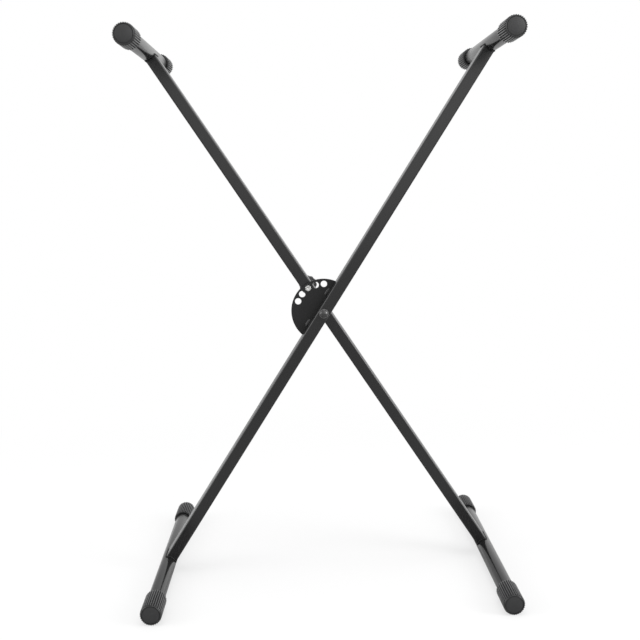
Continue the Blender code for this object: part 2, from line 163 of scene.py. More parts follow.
def startFinish(name, index):
    material = bpy.data.materials.new(name)
    material.use_nodes = True
    graph = Graph(material.node_tree)
    shader = material.node_tree.nodes["Principled BSDF"]
    shader.inputs["IOR"].default_value = index
    place = graph.node("ShaderNodeTexCoord", None, None, "Object")
    return material, graph, shader, place


def feed(graph, shader, signals, height, depth):
    bump = graph.node("ShaderNodeBump", None, {"Distance": depth, "Height": height})
    for name, signal in {**signals, "Normal": bump}.items():
        graph.tree.links.new(signal.socket, shader.inputs[name])


# Finishes. A noise is (grains per metre, detail, roughness), and a range is where it turns from 0 to 1.

paintLook = {
    "dark": 0.006,  # base colour in the thin spots of the coat
    "light": 0.011,
    "tint": (1.0, 1.0, 1.03),
    "index": 1.5,
    "cloud": (14.0, 4.0, 0.55),  # soft patches in colour and gloss
    "speck": (1900.0, 1.0, 0.5),
    "speckShare": 0.4,  # of the colour's change; the patches have the rest
    "gloss": 0.16,  # roughness of clean coat
    "cloudGloss": 0.05,  # roughness that the patches add
    "handled": 0.09,  # roughness that handling adds
    "scuff": (1.0, 5.0, 0.7),
    "scuffStretch": (30.0, 18.0, 24.0),
    "scuffTurn": (0.0, 0.4, 0.0),
    "scuffRange": (0.56, 0.72),
    "scuffPatches": (0.4, 0.6),
    "peel": (520.0, 2.0, 0.4),  # orange peel of the coat
    "fine": (1924.0, 1.0, 0.5),  # finer grain on the peel
    "fineShare": 0.35,  # of the peel's height
    "peelDepth": 0.000006,
}
barLook = {**paintLook, "index": 1.45, "gloss": 0.2, "handled": 0.06}
satinLook = {**paintLook, "index": 1.36, "gloss": 0.34, "handled": 0.06}
# Disc welds: rougher coat, with a base colour lighter than the paint as painted sheen.
weldLook = {**paintLook, "gloss": 0.42, "dark": 0.009, "light": 0.018}
# Seams at the bars' saddles: duller coat, with a base colour darker than the paint as painted shade at the
# joint.
seamLook = {**paintLook, "index": 1.3, "gloss": 0.55, "dark": 0.004, "light": 0.009, "handled": 0.04}


def makePaint(name, look):
    material, graph, shader, place = startFinish(name, look["index"])
    cloud = graph.noise(place, look["cloud"])
    speck = graph.noise(place, look["speck"])
    share = cloud * (1 - look["speckShare"]) + speck * look["speckShare"]
    colour = graph.mixColour(share, grey(look["dark"], look["tint"]), grey(look["light"], look["tint"]))
    along = graph.noise(graph.stretch(place, look["scuffStretch"], look["scuffTurn"]), look["scuff"])
    scuff = along.between(*look["scuffRange"]) * cloud.between(*look["scuffPatches"])
    roughness = look["gloss"] + cloud * look["cloudGloss"] + scuff * look["handled"]
    relief = graph.noise(place, look["peel"]) + graph.noise(place, look["fine"]) * look["fineShare"]
    feed(graph, shader, {"Base Color": colour, "Roughness": roughness}, relief, look["peelDepth"])
    return material


rubberLook = {
    "dark": 0.008,
    "light": 0.015,
    "tint": (0.97, 0.98, 1.04),
    "index": 1.5,
    "cloud": (55.0, 4.0, 0.6),
    "dust": (240.0, 5.0, 0.75),
    "dustRange": (0.52, 0.8),
    "dustColour": 0.05,
    "dustShare": 0.3,
    "worn": 0.045,  # base colour of the rib crests: rubbed wear, and lighter as painted sheen
    "wearAndSheenShare": 0.8,
    "wornGloss": 0.22,  # roughness that rubbing takes off
    "shadedGroove": 0.002,  # base colour between the ribs, painted shade in the valleys
    "grooveRoughness": 0.6,  # added between the ribs
    "roughness": 0.30,
    "grainRoughness": 0.1,  # added by the grain
    "dustRoughness": 0.1,
    "grain": (1500.0, 3.0, 0.6),
    "grainDepth": 0.00003,
}


def makeRubber(name, look):
    material, graph, shader, place = startFinish(name, look["index"])
    cloud = graph.noise(place, look["cloud"])
    grain = graph.noise(place, look["grain"])
    dust = graph.noise(place, look["dust"]).between(*look["dustRange"])
    shadedGroove = graph.attribute("shadedGroove")
    worn = graph.attribute("worn")
    colour = graph.mixColour(cloud, grey(look["dark"], look["tint"]), grey(look["light"], look["tint"]))
    colour = graph.mixColour(dust * look["dustShare"], colour, grey(look["dustColour"]))
    # Painted shade: the valleys between the ribs are darkened.
    colour = graph.mixColour(shadedGroove, colour, grey(look["shadedGroove"]))
    # Wear and painted sheen: the rib crests are lighter.
    colour = graph.mixColour(worn * look["wearAndSheenShare"], colour, grey(look["worn"], look["tint"]))
    plain = look["roughness"] + grain * look["grainRoughness"] + dust * look["dustRoughness"]
    roughness = plain + shadedGroove * look["grooveRoughness"] - worn * look["wornGloss"]
    feed(graph, shader, {"Base Color": colour, "Roughness": roughness}, grain, look["grainDepth"])
    return material


zincLook = {
    "dark": grey(0.45, (1.0, 1.0, 0.97)),
    "light": grey(0.62, (1.0, 1.0, 0.98)),
    "index": 1.5,
    "cloud": (210.0, 4.0, 0.6),
    "spot": (900.0, 3.0, 0.6),  # dull spots
    "spotRange": (0.58, 0.75),
    "spotColour": 0.3,
    "spotShare": 0.25,
    "spotDull": 0.15,  # metallic share that the spots take off
    "roughness": 0.26,
    "cloudRoughness": 0.12,
    "spotRoughness": 0.1,
    "centre": pinCentre,  # the axis that the turning marks go round
    "marks": 1400.0,  # turning marks per metre
    "markShare": 0.6,  # of the relief; the patches have the rest
    "markWander": 1.5,
    "markDetail": 2.0,
    "markDepth": 0.00001,
}
springLook = {**zincLook, "dark": grey(0.33), "light": grey(0.48), "roughness": 0.28,
              "centre": (0.0, 0.0, 0.0), "marks": 2600.0}


def makeMetal(name, look):
    material, graph, shader, place = startFinish(name, look["index"])
    cloud = graph.noise(place, look["cloud"])
    spot = graph.noise(place, look["spot"]).between(*look["spotRange"])
    colour = graph.mixColour(cloud, look["dark"], look["light"])
    colour = graph.mixColour(spot * look["spotShare"], colour, grey(look["spotColour"]))
    metallic = 1.0 - spot * look["spotDull"]
    roughness = look["roughness"] + cloud * look["cloudRoughness"] + spot * look["spotRoughness"]
    centred = graph.stretch(place, (1.0, 1.0, 1.0), centre=look["centre"])
    settings = {"wave_type": "RINGS", "rings_direction": "Y"}
    sockets = {"Vector": centred, "Scale": look["marks"],
               "Distortion": look["markWander"], "Detail": look["markDetail"]}
    marks = graph.node("ShaderNodeTexWave", settings, sockets, "Fac")
    relief = marks * look["markShare"] + cloud * (1 - look["markShare"])
    signals = {"Base Color": colour, "Metallic": metallic, "Roughness": roughness}
    feed(graph, shader, signals, relief, look["markDepth"])
    return material


knobLook = {
    "dark": 0.012,
    "light": 0.02,
    "index": 1.47,
    "cloud": (80.0, 4.0, 0.6),
    "roughness": 0.32,
    "cloudRoughness": 0.06,
    "grainRoughness": 0.1,
    "grain": (1300.0, 2.0, 0.5),
    "grainDepth": 0.00002,
}
nylonLook = {**knobLook, "dark": 0.03, "light": 0.045, "roughness": 0.42, "grain": (700.0, 2.0, 0.5),
             "grainDepth": 0.00001}
boltLook = {**knobLook, "dark": 0.006, "light": 0.014, "index": 1.6, "roughness": 0.18,
            "grain": (1100.0, 2.0, 0.5), "grainDepth": 0.000006}
washerLook = {**boltLook, "dark": 0.012, "light": 0.024, "index": 1.95, "roughness": 0.26,
              "grain": (900.0, 2.0, 0.5), "grainDepth": 0.000008}


def makeSmooth(name, look):
    material, graph, shader, place = startFinish(name, look["index"])
    cloud = graph.noise(place, look["cloud"])
    grain = graph.noise(place, look["grain"])
    colour = graph.mixColour(cloud, grey(look["dark"]), grey(look["light"]))
    roughness = look["roughness"] + grain * look["grainRoughness"] + cloud * look["cloudRoughness"]
    feed(graph, shader, {"Base Color": colour, "Roughness": roughness}, grain, look["grainDepth"])
    return material


finishes = {
    "black_paint": makePaint("blackPowderCoat", paintLook),
    "black_rubber": makeRubber("ribbedCapRubber", rubberLook),
    "zinc": makeMetal("brightZinc", zincLook),
    "black_bolt": makeSmooth("blackenedSteel", boltLook),
    "spring_steel": makeMetal("springWire", springLook),
    "nylon": makeSmooth("blackNylon", nylonLook),
    "black_plastic": makeSmooth("knobPlastic", knobLook),
}
barFinish = makePaint("barPowderCoat", barLook)
discFinish = makePaint("satinDiscCoat", satinLook)
washerFinish = makeSmooth("blackenedWasher", washerLook)
weldFinish = makePaint("satinWeldCoat", weldLook)
seamFinish = makePaint("mattSeamCoat", seamLook)
print("finishes:", ", ".join(sorted(material.name for material in finishes.values())))


# Mesh helpers. Bars, disc and their welds are made in the frame of a leg, whose Z runs up the leg from
# the pivot. Round pieces are made around the Y axis.

def legFrame(topTube):
    reach = middleOf(topTube) - pivot
    turn = math.atan2(reach.x, reach.z)
    return Matrix.Translation(pivot) @ Matrix.Rotation(turn, 4, "Y"), math.hypot(reach.x, reach.z)


frontFrame, pivotToTop = legFrame("front_leg_top_tube")
rearFrame, _ = legFrame("rear_leg_top_tube")
frames = {"front_leg": frontFrame, "rear_leg": rearFrame}
pivotToFoot = (middleOf("front_leg_foot_tube") - pivot).length
tubeLow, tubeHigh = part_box("front_leg_top_tube")
tubeRadius = (tubeHigh.z - tubeLow.z) / 2
pivotPlace = Matrix.Translation((pivot.x, 0.0, pivot.z))
pinPlace = Matrix.Translation((pinCentre.x, 0.0, pinCentre.z))


def pieceName(body, *words):
    return body.replace("_leg", "") + "".join(word.capitalize() for word in words)


def circlePoint(radius, angle, y):
    return Vector((radius * math.cos(angle), y, radius * math.sin(angle)))


def ring(mesh, radius, y, sides):
    if radius <= 0.0:
        return [mesh.verts.new((0.0, y, 0.0))]
    return [mesh.verts.new(circlePoint(radius, math.tau * i / sides, y)) for i in range(sides)]


def bridge(mesh, first, second):
    if len(first) == 1:
        first, second = second, first
    for i, corner in enumerate(first):
        after = first[(i + 1) % len(first)]
        if len(second) == 1:
            mesh.faces.new((corner, after, second[0]))
        else:
            mesh.faces.new((corner, after, second[(i + 1) % len(second)], second[i]))


def softCorners(points, radius, steps=3, closed=True):
    # Rounds the corners of a profile of (radius, y) points, and leaves those on the axis.
    soft = []
    count = len(points)
    for i, point in enumerate(points):
        corner = Vector(point)
        inner = closed or 0 < i < count - 1
        if not inner or corner.x <= 0.0:
            soft.append(tuple(corner))
            continue
        back = Vector(points[i - 1]) - corner
        ahead = Vector(points[(i + 1) % count]) - corner
        reach = min(radius, back.length * cornerShare, ahead.length * cornerShare)
        start = corner + back.normalized() * reach
        end = corner + ahead.normalized() * reach
        for step in range(steps + 1):
            t = step / steps
            soft.append(tuple(start * (1 - t) ** 2 + corner * 2 * t * (1 - t) + end * t ** 2))
    return soft


def shadeSmooth(data, sharp):
    # Edges with more than this angle between their faces, in degrees, stay sharp.
    data.shade_smooth()
    data.set_sharp_from_angle(angle=math.radians(sharp))


def toMesh(name, mesh, sharp=32.0):
    bmesh.ops.remove_doubles(mesh, verts=mesh.verts, dist=samePlace)
    bmesh.ops.recalc_face_normals(mesh, faces=mesh.faces)
    data = bpy.data.meshes.new(name)
    mesh.to_mesh(data)
    mesh.free()
    shadeSmooth(data, sharp)
    return data


def turnedShape(name, profile, sides=64, closed=True, soft=0.0):
    points = softCorners(profile, soft, closed=closed) if soft else profile
    mesh = bmesh.new()
    rings = [ring(mesh, radius, y, sides) for radius, y in points]
    pairs = list(zip(rings, rings[1:]))
    if closed:
        pairs.append((rings[-1], rings[0]))
    for first, second in pairs:
        bridge(mesh, first, second)
    return toMesh(name, mesh)


def tubeProfile(outer, inner, front, back):
    return [(outer, front), (outer, back), (inner, back), (inner, front)]


def addObject(name, data):
    thing = bpy.data.objects.new(name, data)
    bpy.context.collection.objects.link(thing)
    return thing


def settle(thing):
    # Turns an object with modifiers into a plain mesh object of the same name.
    bpy.context.view_layer.update()
    shape = bpy.data.meshes.new_from_object(thing.evaluated_get(bpy.context.evaluated_depsgraph_get()))
    name = thing.name
    old = thing.data
    bpy.data.objects.remove(thing)
    bpy.data.batch_remove([old])
    return addObject(name, shape)


def keep(thing, body, slot, matrix, replaced=(), finish=None):
    # The piece's place goes into its mesh, then it rides on its body, if it has one.
    thing.data.transform(matrix)
    thing.data.materials.clear()
    thing.data.materials.append(finish or finishes[slot])
    if body:
        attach(thing, body)
    for node in replaced:
        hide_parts(node)


def turnedPiece(name, node, body, profile, slot, place, closed=True, soft=0.0002, finish=None):
    shape = turnedShape(name, profile, closed=closed, soft=soft)
    keep(addObject(name, shape), body, slot, place, [node], finish)


def cutRound(thing, radius, ends, place=(0.0, 0.0, 0.0), sides=48):
    front, back = ends
    profile = [(0.0, front), (radius, front), (radius, back), (0.0, back)]
    tool = addObject("cutRound", turnedShape("cutRound", profile, sides, closed=False))
    tool.data.transform(Matrix.Translation(place))
    modifier = thing.modifiers.new("cut", "BOOLEAN")
    modifier.object = tool
    thing = settle(thing)
    bpy.data.objects.remove(tool)
    return thing


def softenEdges(thing, width, segments=3, angle=35.0):
    bevel = thing.modifiers.new("bevel", "BEVEL")
    bevel.width = width
    bevel.segments = segments
    bevel.limit_method = "ANGLE"
    bevel.angle_limit = math.radians(angle)
    weighted = thing.modifiers.new("weighted", "WEIGHTED_NORMAL")
    weighted.keep_sharp = True
    return settle(thing)


# Geometry Nodes: copies of a wedge around the Y axis, and a rippled bead along a path.

beadShape = {"scale": 420.0, "detail": 1.0, "shift": 5.0, "sharp": 60.0}  # shift: that of the ripples


def newTree(name, inputs):
    tree = bpy.data.node_groups.new(name, "GeometryNodeTree")
    tree.interface.new_socket("Geometry", in_out="INPUT", socket_type="NodeSocketGeometry")
    for label, kind, value in inputs:
        socket = tree.interface.new_socket(label, in_out="INPUT", socket_type=kind)
        if value is not None:
            socket.default_value = value
    tree.interface.new_socket("Geometry", in_out="OUTPUT", socket_type="NodeSocketGeometry")
    graph = Graph(tree)
    start = tree.nodes.new("NodeGroupInput")
    given = {socket.name: Signal(graph, socket) for socket in start.outputs if socket.name}
    return tree, graph, given


def endTree(graph, geometry, material):
    whole = graph.node("GeometryNodeRealizeInstances", None, {"Geometry": geometry})
    coated = graph.node("GeometryNodeSetMaterial", None, {"Geometry": whole, "Material": material})
    graph.node("NodeGroupOutput", None, {0: coated})


def makeCopiesTree():
    tree, graph, given = newTree("copiesAroundAxis", [
        ("Copies", "NodeSocketInt", 12), ("Material", "NodeSocketMaterial", None)])
    points = graph.node("GeometryNodePoints", None, {"Count": given["Copies"]})
    index = graph.node("GeometryNodeInputIndex")
    angle = index * math.tau / given["Copies"]
    turn = graph.node("ShaderNodeCombineXYZ", None, {"Y": angle})
    rotation = graph.node("FunctionNodeEulerToRotation", None, {0: turn})
    sockets = {"Points": points, "Instance": given["Geometry"], "Rotation": rotation}
    copies = graph.node("GeometryNodeInstanceOnPoints", None, sockets)
    endTree(graph, copies, given["Material"])
    return tree


def makeBeadTree():
    tree, graph, given = newTree("beadAlongPath", [
        ("Radius", "NodeSocketFloat", 0.001), ("Step", "NodeSocketFloat", 0.0004),
        ("Ripple", "NodeSocketFloat", 0.0016), ("Depth", "NodeSocketFloat", 0.2),
        ("Wander", "NodeSocketFloat", 0.2), ("Seed", "NodeSocketFloat", 1.0),
        ("Sides", "NodeSocketInt", 10), ("Taper", "NodeSocketFloat", 0.0),
        ("Material", "NodeSocketMaterial", None)])
    sockets = {"Curve": given["Geometry"], "Length": given["Step"]}
    path = graph.node("GeometryNodeResampleCurve", {"mode": "LENGTH"}, sockets)
    factor = graph.node("GeometryNodeSplineParameter", None, None, "Factor")
    length = graph.node("GeometryNodeSplineParameter", None, None, "Length")
    place = graph.node("GeometryNodeInputPosition")
    sockets = {"Vector": place, "W": given["Seed"],
               "Scale": beadShape["scale"], "Detail": beadShape["detail"]}
    chance = graph.node("ShaderNodeTexNoise", {"noise_dimensions": "4D"}, sockets)
    wave = graph.maths("SINE", length * math.tau / given["Ripple"] + chance * beadShape["shift"])
    ends = graph.maths("POWER", factor * (1.0 - factor) * 4.0, given["Taper"])
    swell = (1.0 + wave * given["Depth"] + (chance - 0.5) * given["Wander"]) * ends
    sockets = {"Resolution": given["Sides"], "Radius": given["Radius"]}
    profile = graph.node("GeometryNodeCurvePrimitiveCircle", None, sockets)
    sockets = {"Curve": path, "Profile Curve": profile, "Scale": swell, "Fill Caps": True}
    endTree(graph, graph.node("GeometryNodeCurveToMesh", None, sockets), given["Material"])
    return tree


copiesTree = makeCopiesTree()
beadTree = makeBeadTree()


def runTree(thing, tree, values):
    modifier = thing.modifiers.new("nodes", "NODES")
    modifier.node_group = tree
    for socket in tree.interface.items_tree:
        if socket.in_out == "INPUT" and socket.name in values:
            modifier[socket.identifier] = values[socket.name]
    return settle(thing)


def mergeCopies(thing, sharp):
    mesh = bmesh.new()
    mesh.from_mesh(thing.data)
    bmesh.ops.remove_doubles(mesh, verts=mesh.verts, dist=copySeam)
    bmesh.ops.dissolve_degenerate(mesh, dist=samePlace, edges=mesh.edges)
    bmesh.ops.recalc_face_normals(mesh, faces=mesh.faces)
    mesh.to_mesh(thing.data)
    mesh.free()
    shadeSmooth(thing.data, sharp)
    return thing


def wedgeMesh(name, mesh, rows, closed=False):
    # Joins rows of corners with faces, and the last row with the first where it is closed.
    for first, second in zip(rows, rows[1:] + (rows[:1] if closed else [])):
        for i in range(len(first) - 1):
            mesh.faces.new((first[i], first[i + 1], second[i + 1], second[i]))
    data = bpy.data.meshes.new(name)
    mesh.to_mesh(data)
    mesh.free()
    return data


def sixthMesh(name, stations, flat, steps, closed=False):
    # A sixth of a piece, from (radius, y, whether it is hexagonal); flat is half the width across the flats.
    mesh = bmesh.new()
    rows = []
    for radius, y, hexagonal in stations:
        row = []
        for step in range(steps + 1):
            fromFlat = math.pi / 3 * (step / steps - 0.5)
            reach = min(radius, flat / math.cos(fromFlat)) if hexagonal else radius
            row.append(mesh.verts.new(circlePoint(reach, fromFlat, y)))
        rows.append(row)
    return wedgeMesh(name, mesh, rows, closed)


def copyAround(name, wedge, copies, slot, sharp):
    values = {"Copies": copies, "Material": finishes[slot]}
    return mergeCopies(runTree(addObject(name, wedge), copiesTree, values), sharp)


def pathCurve(name, points, cyclic=False):
    curve = bpy.data.curves.new(name, "CURVE")
    curve.dimensions = "3D"
    spline = curve.splines.new("POLY")
    spline.points.add(len(points) - 1)
    for target, point in zip(spline.points, points):
        target.co = (*point, 1.0)
    spline.use_cyclic_u = cyclic
    return addObject(name, curve)


def bead(name, points, slot, values, cyclic=False, finish=None):
    settings = {"Material": finish or finishes[slot], **values}
    return mergeCopies(runTree(pathCurve(name, points, cyclic), beadTree, settings), beadShape["sharp"])


fusedBead = {"Ripple": 0.0031, "Depth": 0.05, "Wander": 0.75, "Sides": 12}  # around a joint
plainWire = {"Step": 0.0006, "Depth": 0.0, "Wander": 0.0}


# Leg bars

barShape = {
    "width": 0.019,
    "wall": 0.0015,
    "corner": 0.002,
    "cornerSteps": 7,
    "saddleSteps": 16,
    "cutPast": 0.002,  # how far a cutter runs past the faces that it cuts
    "sharp": 30.0,
}


def barOutline(halfWidth, halfDepth, corner):
    points = []
    straight = halfWidth - corner
    for quarter, (sideX, sideY) in enumerate(((1, 1), (-1, 1), (-1, -1), (1, -1))):
        for step in range(barShape["cornerSteps"] + 1):
            angle = math.pi / 2 * (quarter + step / barShape["cornerSteps"])
            points.append((sideX * straight + corner * math.cos(angle),
                           sideY * (halfDepth - corner) + corner * math.sin(angle)))
        if quarter in (0, 2):
            for step in range(1, barShape["saddleSteps"]):
                share = 1 - 2 * step / barShape["saddleSteps"]
                points.append((sideX * straight * share, sideY * halfDepth))
    return points


def saddleHeight(across, sign):
    reach = pivotToTop if sign > 0 else pivotToFoot
    saddle = tubeRadius + seat
    return sign * (reach - math.sqrt(saddle ** 2 - across ** 2))


def makeBar(body):
    node = body + "_bar"
    low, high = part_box(node)
    middle = (low.y + high.y) / 2
    halfDepth = (high.y - low.y) / 2
    wall = barShape["wall"]
    outlines = [
        barOutline(barShape["width"] / 2, halfDepth, barShape["corner"]),
        barOutline(barShape["width"] / 2 - wall, halfDepth - wall, barShape["corner"] - wall),
    ]
    mesh = bmesh.new()
    rings = []
    for outline in outlines:
        for sign in (1, -1):
            rings.append([mesh.verts.new((x, middle + y, saddleHeight(x, sign))) for x, y in outline])
    for first, second in ((0, 1), (2, 3), (0, 2), (1, 3)):
        bridge(mesh, rings[first], rings[second])
    bar = addObject(pieceName(body, "bar", "tube"), toMesh("bar", mesh, barShape["sharp"]))
    sleeve = radiusOf(body.replace("_leg", "_pivot_sleeve"))
    ends = (low.y - barShape["cutPast"], high.y + barShape["cutPast"])
    bar = cutRound(bar, sleeve + seat, ends)
    if body == "rear_leg":
        bar = cutRound(bar, radiusOf("pin_barrel") + seat, ends, (0.0, 0.0, holeCircle))
    shadeSmooth(bar.data, barShape["sharp"])
    keep(bar, body, "black_paint", frames[body], [node], barFinish)
    return middle, halfDepth


barPlaces = {body: makeBar(body) for body in frames}
print("leg bars: done")


# Cross tubes with their welds and ribbed end caps

capShape = {
    "ribs": 30,
    "ribDepth": 0.0014,
    "bore": 0.013,
    "endWall": 0.0045,
    "wearAndSheenFrom": 0.0151,  # radius where the crests begin to be rubbed and lightened as painted sheen
    "wearAndSheenOver": 0.0013,  # and how much further out that is full
    "grooveShadeFrom": 0.0153,  # radius outside which the valleys get painted shade
    "domeRadius": 0.0129,
    "domeRise": 0.0010,
    "domeSteps": 8,
    "sharp": 38.0,
}
# Half a rib across, from its middle to the valley's: (share of half a pitch, share of the depth).
ribSide = [(0.0, 1.0), (0.24, 0.99), (0.36, 0.88), (0.46, 0.5), (0.56, 0.12), (0.68, 0.0), (1.0, 0.0)]
# The mouth, from the bore outwards: (radius, back from the mouth).
capMouth = [(0.0130, 0.0004), (0.0132, 0.0), (0.0150, 0.0), (0.0157, 0.0002), (0.0162, 0.0007),
            (0.0165, 0.0015)]
# The closed end, from the last full rib to the edge of the domed face: (radius, back from the tip).
capEnd = [(0.0165, 0.0032), (0.0163, 0.0022), (0.0157, 0.0016), (0.0151, 0.0016), (0.0150, 0.0009),
          (0.0146, 0.0005), (0.0140, 0.0005), (0.0137, 0.0009), (0.0136, 0.0019), (0.0132, 0.0019)]


def capStations(length):
    stations = [(0.0, -length + capShape["endWall"]), (capShape["bore"], -length + capShape["endWall"])]
    stations += [(radius, -back) for radius, back in capMouth]
    stations += [(radius, -length + back) for radius, back in capEnd]
    for step in range(capShape["domeSteps"] + 1):
        share = 1 - step / capShape["domeSteps"]
        stations.append((capShape["domeRadius"] * share, -length + capShape["domeRise"] * share ** 2))
    return stations


def makeCapWedge(length, crest):
    # One rib, with how far each corner is rubbed and lightened by painted sheen, and how deep it lies in a
    # groove darkened by painted shade.
    half = math.pi / capShape["ribs"]
    columns = [(-share, depth) for share, depth in reversed(ribSide[1:])] + ribSide
    mesh = bmesh.new()
    worn = mesh.verts.layers.float.new("worn")
    shadedGroove = mesh.verts.layers.float.new("shadedGroove")
    rows = []
    for radius, y in capStations(length):
        row = []
        for side, depth in columns:
            reach = min(radius, crest - capShape["ribDepth"] * (1 - depth))
            corner = mesh.verts.new(circlePoint(reach, -math.pi / 2 + side * half, y))
            wearAndSheenRamp = (reach - capShape["wearAndSheenFrom"]) / capShape["wearAndSheenOver"]
            corner[worn] = depth * min(1.0, max(0.0, wearAndSheenRamp))
            # Painted shade mask: 1 deep in the valleys, where shade falls.
            corner[shadedGroove] = 1 - depth if radius > capShape["grooveShadeFrom"] else 0.0
            row.append(corner)
        rows.append(row)
    return wedgeMesh("capWedge", mesh, rows)


def makeCap(body, end, side):
    node = f"{body}_{end}_cap_{side}"
    low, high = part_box(node)
    centre = middleOf(node)
    wedge = makeCapWedge(high.y - low.y, (high.z - low.z) / 2)
    name = pieceName(body, end, "cap", side)
    cap = copyAround(name, wedge, capShape["ribs"], "black_rubber", capShape["sharp"])
    place = Matrix.Translation((centre.x, high.y if side == "front" else low.y, centre.z))
    if side == "rear":
        place = place @ Matrix.Rotation(math.pi, 4, "Z")
    keep(cap, body, "black_rubber", place, [node])


tubeShape = {"wall": 0.0015, "sides": 96, "edge": 0.0004}
seamShape = {
    "radius": 0.0011,
    "offset": 0.0002,  # the bead's path lies this far outside the bar
    "lift": 0.0002,  # and this far back from the end of the bar
    "seedStep": 1.7,
}


def makeCrossTube(body, end):
    node = f"{body}_{end}_tube"
    low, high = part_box(node)
    centre = middleOf(node)
    profile = tubeProfile(tubeRadius, tubeRadius - tubeShape["wall"], low.y, high.y)
    name = pieceName(body, end, "tube")
    tube = addObject(name, turnedShape(name, profile, tubeShape["sides"], soft=tubeShape["edge"]))
    keep(tube, body, "black_paint", Matrix.Translation((centre.x, 0.0, centre.z)), [node])


def makeSeam(body, end):
    # Weld around the bar's saddle.
    middle, halfDepth = barPlaces[body]
    halfWidth = barShape["width"] / 2
    sign = 1 if end == "top" else -1
    grow = seamShape["offset"]
    points = []
    for across, alongY in barOutline(halfWidth + grow, halfDepth + grow, barShape["corner"] + grow):
        inside = max(-halfWidth, min(halfWidth, across))
        height = saddleHeight(inside, sign) - sign * seamShape["lift"]
        points.append((across, middle + alongY, height))
    name = pieceName(body, end, "weld")
    values = {**fusedBead, "Radius": seamShape["radius"], "Seed": len(name) * seamShape["seedStep"]}
    seam = bead(name, points, "black_paint", values, True, seamFinish)
    keep(seam, body, "black_paint", frames[body], finish=seamFinish)


for body in frames:
    for end in ("top", "foot"):
        makeCrossTube(body, end)
        makeSeam(body, end)
        for side in ("front", "rear"):
            makeCap(body, end, side)
print("cross tubes, caps and welds: done")


# Lock disc

discShape = {
    "inset": 0.001,  # the straight side lies this far inside the bar's edge
    "corner": 0.003,
    "cornerSteps": 6,
    "rimSteps": 120,
    "cutPast": 0.001,
    "pivotHole": 0.0042,
    "holeRadius": 0.00575,
    "holeSides": 64,
    "rim": 0.0028,
    "pitch": 17.6,  # degrees between height holes
    "holes": 5,
    "storedAngle": 3.905,  # of the hole that holds the stand folded, from the front leg
    "edge": 0.0004,
    "weldLength": 0.014,
    "weldSteps": 8,
    "weldReach": 0.0305,  # pivot to the middle of each weld, along the leg
    "weldRadius": 0.0033,
    "weldSide": 0.45,  # share of its radius by which a weld lies outside the bar
    "weldFlat": 0.55,  # height of the welds as a share of their width
}
discBead = {"Ripple": 0.0019, "Depth": 0.02, "Wander": 0.25, "Sides": 20, "Taper": 0.4}
discSeed = 3.0


def discOutline():
    radius = holeCircle + discShape["holeRadius"] + discShape["rim"]
    corner = discShape["corner"]
    cornerSteps = discShape["cornerSteps"]
    rimSteps = discShape["rimSteps"]
    across = barShape["width"] / 2 - discShape["inset"] - corner
    along = math.sqrt((radius - corner) ** 2 - across ** 2)
    tilt = math.atan2(across, along)
    sweep = math.pi / 2 - tilt
    upper = []
    for step in range(cornerSteps + 1):
        angle = sweep * step / cornerSteps
        upper.append((across + corner * math.cos(angle), along + corner * math.sin(angle)))
    rim = []
    for step in range(1, rimSteps):
        angle = sweep + (math.pi + 2 * tilt) * step / rimSteps
        rim.append((radius * math.cos(angle), radius * math.sin(angle)))
    lower = [(x, -z) for x, z in reversed(upper)]
    return upper + rim + lower


def makeDiscWeld(number, sign, front):
    face = Matrix.Translation((0.0, front, 0.0))
    flat = face @ Matrix.Scale(discShape["weldFlat"], 4, (0.0, 1.0, 0.0)) @ face.inverted()
    start = sign * discShape["weldReach"] - discShape["weldLength"] / 2
    x = -barShape["width"] / 2 - discShape["weldRadius"] * discShape["weldSide"]
    points = []
    for step in range(discShape["weldSteps"] + 1):
        points.append((x, front, start + discShape["weldLength"] * step / discShape["weldSteps"]))
    values = {**discBead, "Radius": discShape["weldRadius"], "Seed": discSeed + number}
    weld = bead(f"discWeld{number + 1}", points, "black_paint", values, finish=weldFinish)
    keep(weld, "front_leg", "black_paint", frontFrame @ flat, finish=weldFinish)


def makeDisc():
    low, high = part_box("lock_disc")
    mesh = bmesh.new()
    front = [mesh.verts.new((x, low.y, z)) for x, z in discOutline()]
    back = [mesh.verts.new((x, high.y, z)) for x, z in discOutline()]
    bridge(mesh, front, back)
    mesh.faces.new(front)
    mesh.faces.new(back)
    disc = addObject("lockDisc", toMesh("lockDisc", mesh))
    restAngle = 2 * math.atan2(frontFrame[0][2], frontFrame[2][2])  # between the legs
    angles = [math.radians(discShape["storedAngle"])]
    for number in range(discShape["holes"]):
        angles.append(restAngle + math.radians(discShape["pitch"]) * (number - discShape["holes"] // 2))
    ends = (low.y - discShape["cutPast"], high.y + discShape["cutPast"])
    disc = cutRound(disc, discShape["pivotHole"], ends)
    radius = discShape["holeRadius"] - discShape["edge"]
    for angle in angles:
        place = (-holeCircle * math.sin(angle), 0.0, holeCircle * math.cos(angle))
        disc = cutRound(disc, radius, ends, place, discShape["holeSides"])
    disc = softenEdges(disc, discShape["edge"])
    keep(disc, "front_leg", "black_paint", frontFrame, ["lock_disc"], discFinish)
    for number, sign in enumerate((1, -1)):
        makeDiscWeld(number, sign, low.y)


makeDisc()
print("lock disc: done")


# Pivot bolt, washers and nut

boltShape = {
    "headRadius": 0.0064,
    "headHeight": 0.0042,
    "headSide": 0.16,  # upright side of the head, as a share of its height
    "headEdge": 0.0002,
    "domeSteps": 14,
    "shank": 0.004,
    "shankEnd": 0.013,  # where the plain shank ends, from the tip
    "shankStep": 0.0003,
    "tipEdge": 0.0005,
}
threadShape = {
    "pitch": 0.00125,
    "depth": 0.0004,
    "length": 0.0118,
    "fromTip": 0.0006,
    "sink": 0.00005,  # so that the ridge joins the core
    "steps": 24,  # in each turn
    "sides": 6,
}
washerShape = {"bore": 0.0042, "edge": 0.0004}


